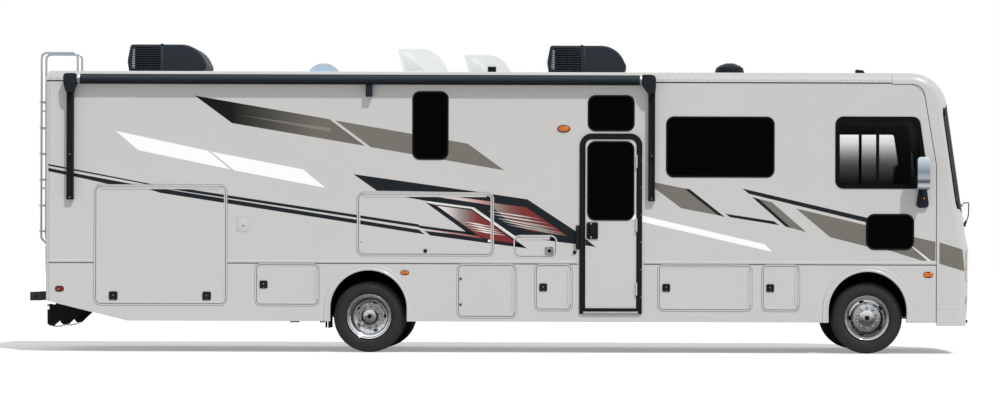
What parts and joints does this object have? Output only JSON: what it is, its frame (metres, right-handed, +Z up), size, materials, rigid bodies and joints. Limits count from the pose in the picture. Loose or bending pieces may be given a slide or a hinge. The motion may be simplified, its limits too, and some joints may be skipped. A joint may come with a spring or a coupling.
{
  "type": "motorhome",
  "caption": "Full-size front-engined motorhome with a hollow coach body, rolling and steering wheels, hinged entry door, lockers and sliding rooms.",
  "frame": {"origin": "on the ground under the middle of the whole vehicle", "axes": "+X forward, +Y to the driver's side, +Z up"},
  "size_m": [11.0555, 3.16, 3.6728],
  "materials": {
    "body_paint": "gloss",
    "skirt_paint": "gloss",
    "gelcoat": "gloss",
    "roof_skin": "satin",
    "tinted_glass": "gloss",
    "clear_lens": "gloss",
    "lamp_lens": "gloss",
    "black_plastic": "satin",
    "black_frame": "satin",
    "white_plastic": "satin",
    "chassis_paint": "satin",
    "cast_steel": "matt",
    "sheet_steel": "satin",
    "polished_metal": "polished",
    "tube_aluminium": "satin",
    "tyre_rubber": "matt",
    "deck_wood": "matt",
    "seat_leather": "satin",
    "dash_plastic": "matt"
  },
  "bodies": {
    "coach": {"air_conditioners": "black_plastic", "awning": "black_frame", "cab_seats": "seat_leather", "chassis_frame": "chassis_paint", "cockpit_window_frames": "black_frame", "dashboard": "dash_plastic", "entry_door_frame": "black_frame", "exhaust": "sheet_steel", "floor_deck": "deck_wood", "front_axle": "cast_steel", "front_cap": "gelcoat", "grille": "black_plastic", "headlamps": "clear_lens", "hitch_receiver": "chassis_paint", "ladder": "tube_aluminium", "mirrors": "polished_metal", "powertrain": "cast_steel", "rear_axle": "cast_steel", "rear_bumper": "chassis_paint", "rear_wall": "body_paint", "roof": "roof_skin", "roof_vents_and_domes": "white_plastic", "service_box": "sheet_steel", "side_wall_left": "body_paint", "side_wall_right": "body_paint", "side_windows": "tinted_glass", "signal_lamps": "lamp_lens", "skirts": "skirt_paint", "stepwell": "deck_wood", "storage_boxes": "sheet_steel", "underbody_tanks": "black_plastic", "wheel_houses": "sheet_steel", "windshield": "tinted_glass"},
    "rear_wheels_left": {"wheel_rear_left": "polished_metal", "tyre_rear_left": "tyre_rubber"},
    "front_wheel_left": {"wheel_front_left": "polished_metal", "tyre_front_left": "tyre_rubber"},
    "steering_knuckle_left": {"knuckle_left": "cast_steel"},
    "rear_wheels_right": {"wheel_rear_right": "polished_metal", "tyre_rear_right": "tyre_rubber"},
    "front_wheel_right": {"wheel_front_right": "polished_metal", "tyre_front_right": "tyre_rubber"},
    "steering_knuckle_right": {"knuckle_right": "cast_steel"},
    "steering_tie_rod": {"tie_rod": "cast_steel"},
    "right_compartment_door_1": {"right_compartment_door_1": "skirt_paint"},
    "right_compartment_door_2": {"right_compartment_door_2": "skirt_paint"},
    "right_compartment_door_3": {"right_compartment_door_3": "skirt_paint"},
    "right_compartment_door_4": {"right_compartment_door_4": "skirt_paint"},
    "right_compartment_door_5": {"right_compartment_door_5": "skirt_paint"},
    "left_compartment_door_1": {"left_compartment_door_1": "skirt_paint"},
    "left_compartment_door_2": {"left_compartment_door_2": "skirt_paint"},
    "rear_hatch": {"rear_hatch": "body_paint"},
    "tv_hatch": {"tv_hatch": "body_paint"},
    "service_hatch": {"service_hatch": "body_paint"},
    "entry_door": {"entry_door": "body_paint", "entry_door_window": "tinted_glass"},
    "bedroom_slide": {"bedroom_slide": "body_paint", "bedroom_slide_window": "tinted_glass"},
    "living_slide": {"living_slide": "body_paint", "living_slide_window": "tinted_glass"}
  },
  "joints": [
    {"name": "rear_wheels_left_roll", "type": "hinge", "parent": "coach", "child": "rear_wheels_left", "pos_m": [-1.55, 1.075, 0.419], "axis": [0, 1, 0], "continuous": true},
    {"name": "steer_left", "type": "hinge", "parent": "coach", "child": "steering_knuckle_left", "pos_m": [4.29, 0.85, 0.419], "axis": [0, 0, 1], "range_deg": [-35, 35]},
    {"name": "front_wheel_left_roll", "type": "hinge", "parent": "steering_knuckle_left", "child": "front_wheel_left", "pos_m": [4.29, 1.075, 0.419], "axis": [0, 1, 0], "continuous": true},
    {"name": "rear_wheels_right_roll", "type": "hinge", "parent": "coach", "child": "rear_wheels_right", "pos_m": [-1.55, -1.075, 0.419], "axis": [0, 1, 0], "continuous": true},
    {"name": "steer_right", "type": "hinge", "parent": "coach", "child": "steering_knuckle_right", "pos_m": [4.29, -0.85, 0.419], "axis": [0, 0, 1], "range_deg": [-35, 35]},
    {"name": "front_wheel_right_roll", "type": "hinge", "parent": "steering_knuckle_right", "child": "front_wheel_right", "pos_m": [4.29, -1.075, 0.419], "axis": [0, 1, 0], "continuous": true},
    {"name": "tie_rod_swing", "type": "hinge", "parent": "steering_knuckle_left", "child": "steering_tie_rod", "pos_m": [4.06, 0.85, 0.319], "axis": [0, 0, 1], "range_deg": [-35, 35]},
    {"name": "right_compartment_door_1_hinge", "type": "hinge", "parent": "coach", "child": "right_compartment_door_1", "pos_m": [-2.146, -1.288, 0.75], "axis": [0, 0, 1], "range_deg": [0, 100]},
    {"name": "right_compartment_door_2_hinge", "type": "hinge", "parent": "coach", "child": "right_compartment_door_2", "pos_m": [0.158, -1.288, 0.75], "axis": [0, 0, 1], "range_deg": [0, 100]},
    {"name": "right_compartment_door_3_hinge", "type": "hinge", "parent": "coach", "child": "right_compartment_door_3", "pos_m": [0.814, -1.288, 0.75], "axis": [0, 0, 1], "range_deg": [0, 100]},
    {"name": "right_compartment_door_4_hinge", "type": "hinge", "parent": "coach", "child": "right_compartment_door_4", "pos_m": [2.918, -1.288, 0.75], "axis": [0, 0, 1], "range_deg": [0, 100]},
    {"name": "right_compartment_door_5_hinge", "type": "hinge", "parent": "coach", "child": "right_compartment_door_5", "pos_m": [3.474, -1.288, 0.75], "axis": [0, 0, 1], "range_deg": [0, 100]},
    {"name": "left_compartment_door_1_hinge", "type": "hinge", "parent": "coach", "child": "left_compartment_door_1", "pos_m": [-2.146, 1.288, 0.75], "axis": [0, 0, -1], "range_deg": [0, 100]},
    {"name": "left_compartment_door_2_hinge", "type": "hinge", "parent": "coach", "child": "left_compartment_door_2", "pos_m": [2.918, 1.288, 0.75], "axis": [0, 0, -1], "range_deg": [0, 100]},
    {"name": "rear_hatch_hinge", "type": "hinge", "parent": "coach", "child": "rear_hatch", "pos_m": [-3.984, -1.288, 1.939], "axis": [-1, 0, 0], "range_deg": [0, 85]},
    {"name": "tv_hatch_hinge", "type": "hinge", "parent": "coach", "child": "tv_hatch", "pos_m": [-0.8865, -1.288, 1.857], "axis": [-1, 0, 0], "range_deg": [0, 85]},
    {"name": "service_hatch_hinge", "type": "hinge", "parent": "coach", "child": "service_hatch", "pos_m": [0.4, -1.288, 1.362], "axis": [-1, 0, 0], "range_deg": [0, 85]},
    {"name": "entry_door_hinge", "type": "hinge", "parent": "coach", "child": "entry_door", "pos_m": [1.584, -1.31, 1.4], "axis": [0, 0, 1], "range_deg": [0, 110]},
    {"name": "bedroom_slide_travel", "type": "slide", "parent": "coach", "child": "bedroom_slide", "axis": [0, 1, 0], "range_m": [0, 0.7]},
    {"name": "living_slide_travel", "type": "slide", "parent": "coach", "child": "living_slide", "axis": [0, 1, 0], "range_m": [0, 0.7]}
  ],
  "couplings": [
    {"joint": "steer_right", "follows": "steer_left", "ratio": 1},
    {"joint": "tie_rod_swing", "follows": "steer_left", "ratio": -1}
  ]
}
